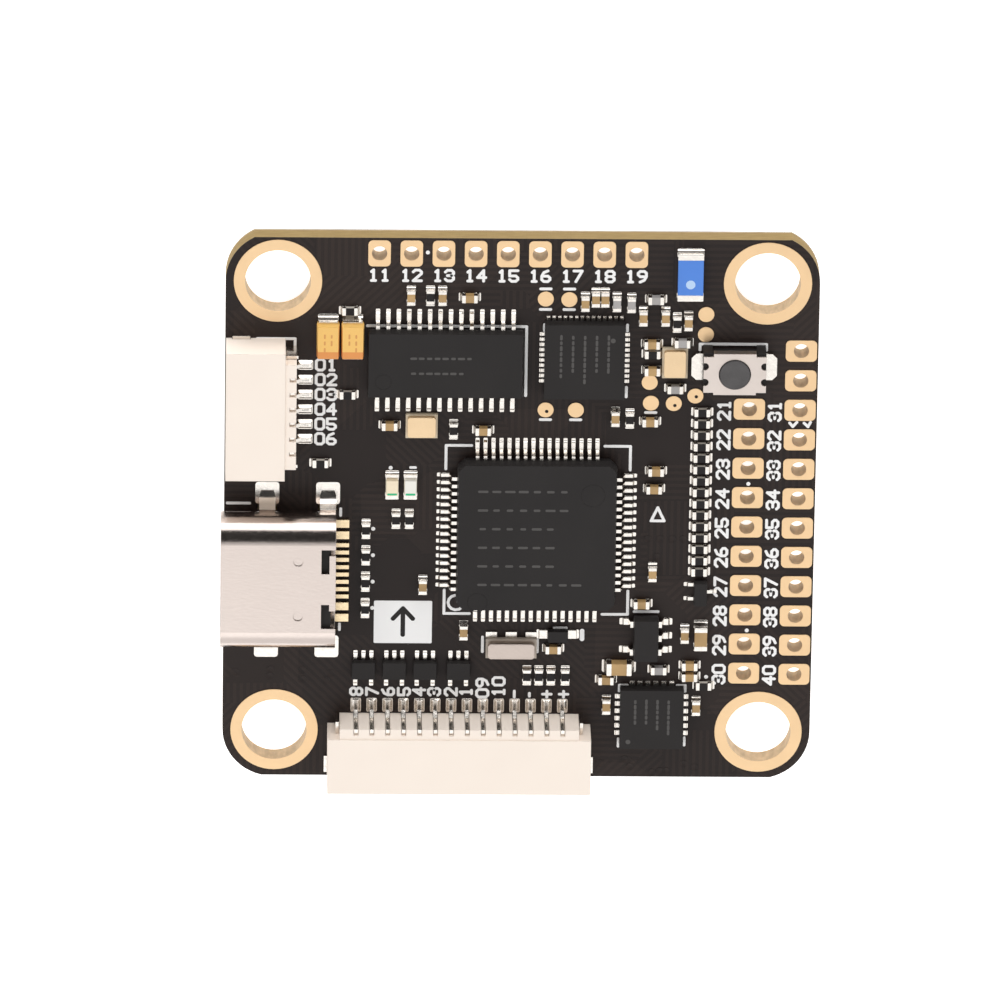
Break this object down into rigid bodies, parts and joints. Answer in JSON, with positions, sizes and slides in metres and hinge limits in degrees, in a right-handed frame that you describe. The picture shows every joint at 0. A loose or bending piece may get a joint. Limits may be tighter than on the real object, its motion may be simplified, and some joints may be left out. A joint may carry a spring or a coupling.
{
  "type": "flight controller board",
  "caption": "Square drone flight controller board with corner mounting holes, USB-C port, side-entry cable sockets, solder pads and a boot button.",
  "frame": {"origin": "centre of the four mounting holes, on the component face of the board", "axes": "+X towards the two columns of solder pads, +Y towards the single row of solder pads, +Z out of the component face; the USB-C port faces -X and the long socket faces -Y"},
  "size_m": [0.0372, 0.0366, 0.0065],
  "materials": {
    "board_laminate": "dark solder mask over copper tracks, satin",
    "gold_plating": "flat immersion gold, satin",
    "usb_steel": "nickel plated, satin",
    "black_moulding": "moulded, matt",
    "contact_gold": "gold plated, polished",
    "ivory_plastic": "moulded, satin",
    "tinned_metal": "tin plated and soldered, satin",
    "switch_cover_steel": "stamped, satin",
    "plunger_plastic": "moulded, satin",
    "dome_steel": "spring steel, satin",
    "resistor_glaze": "glazed film over white ceramic",
    "capacitor_ceramic": "fired ceramic, satin",
    "bead_ferrite": "fired ferrite, satin",
    "tantalum_moulding": "moulded, satin",
    "led_base_white": "moulded, satin",
    "led_lens": "clear epoxy, gloss",
    "antenna_ceramic": "blue glaze",
    "crystal_ceramic": "fired ceramic, satin",
    "crystal_lid_brass": "rolled lid, satin",
    "resonator_ceramic": "fired ceramic, satin",
    "resonator_lid_steel": "drawn lid, satin",
    "inductor_ferrite": "pressed iron powder, matt",
    "sensor_base": "laminate, satin",
    "sensor_lid_steel": "drawn lid, satin"
  },
  "bodies": {
    "board": {"antenna_core": "antenna_ceramic", "antenna_ends": "tinned_metal", "boot_switch_base": "black_moulding", "boot_switch_cover": "switch_cover_steel", "boot_switch_dome": "dome_steel", "boot_switch_lugs": "tinned_metal", "ceramic_capacitor_bodies": "capacitor_ceramic", "ceramic_capacitor_ends": "tinned_metal", "circuit_board": "board_laminate", "crystal_bases": "crystal_ceramic", "crystal_lids": "crystal_lid_brass", "diode_case": "black_moulding", "diode_ends": "tinned_metal", "filter_bead_bodies": "bead_ferrite", "filter_bead_ends": "tinned_metal", "flash_memory_case": "black_moulding", "flash_memory_contacts": "tinned_metal", "indicator_led_bases": "led_base_white", "indicator_led_ends": "tinned_metal", "indicator_led_lenses": "led_lens", "level_shifter_cases": "black_moulding", "level_shifter_leads": "tinned_metal", "main_socket_anchors": "tinned_metal", "main_socket_contacts": "tinned_metal", "main_socket_housing": "ivory_plastic", "motion_sensor_case": "black_moulding", "motion_sensor_contacts": "tinned_metal", "mounting_rings": "gold_plating", "overlay_chip_case": "black_moulding", "overlay_chip_leads": "tinned_metal", "power_inductor_cores": "inductor_ferrite", "power_inductor_ends": "tinned_metal", "pressure_sensor_base": "sensor_base", "pressure_sensor_lid": "sensor_lid_steel", "processor_case": "black_moulding", "processor_leads": "tinned_metal", "radio_chip_case": "black_moulding", "radio_chip_contacts": "tinned_metal", "regulator_cases": "black_moulding", "regulator_leads": "tinned_metal", "resistor_bodies": "resistor_glaze", "resistor_ends": "tinned_metal", "resonator_base": "resonator_ceramic", "resonator_ends": "tinned_metal", "resonator_lid": "resonator_lid_steel", "side_column_pads": "gold_plating", "side_socket_anchors": "tinned_metal", "side_socket_contacts": "tinned_metal", "side_socket_housing": "ivory_plastic", "tantalum_capacitor_cases": "tantalum_moulding", "tantalum_capacitor_ends": "tinned_metal", "test_pads": "gold_plating", "top_row_pads": "gold_plating", "transistor_case": "black_moulding", "transistor_leads": "tinned_metal", "usb_contacts": "contact_gold", "usb_shell": "usb_steel", "usb_tongue": "black_moulding"},
    "boot_button": {"boot_switch_plunger": "plunger_plastic"}
  },
  "joints": [
    {"name": "boot_button_press", "type": "slide", "parent": "board", "child": "boot_button", "axis": [0, 0, 1], "range_m": [-0.0002, 0], "stiffness_N_per_m": 6000, "deforming": ["boot_switch_dome"]}
  ]
}
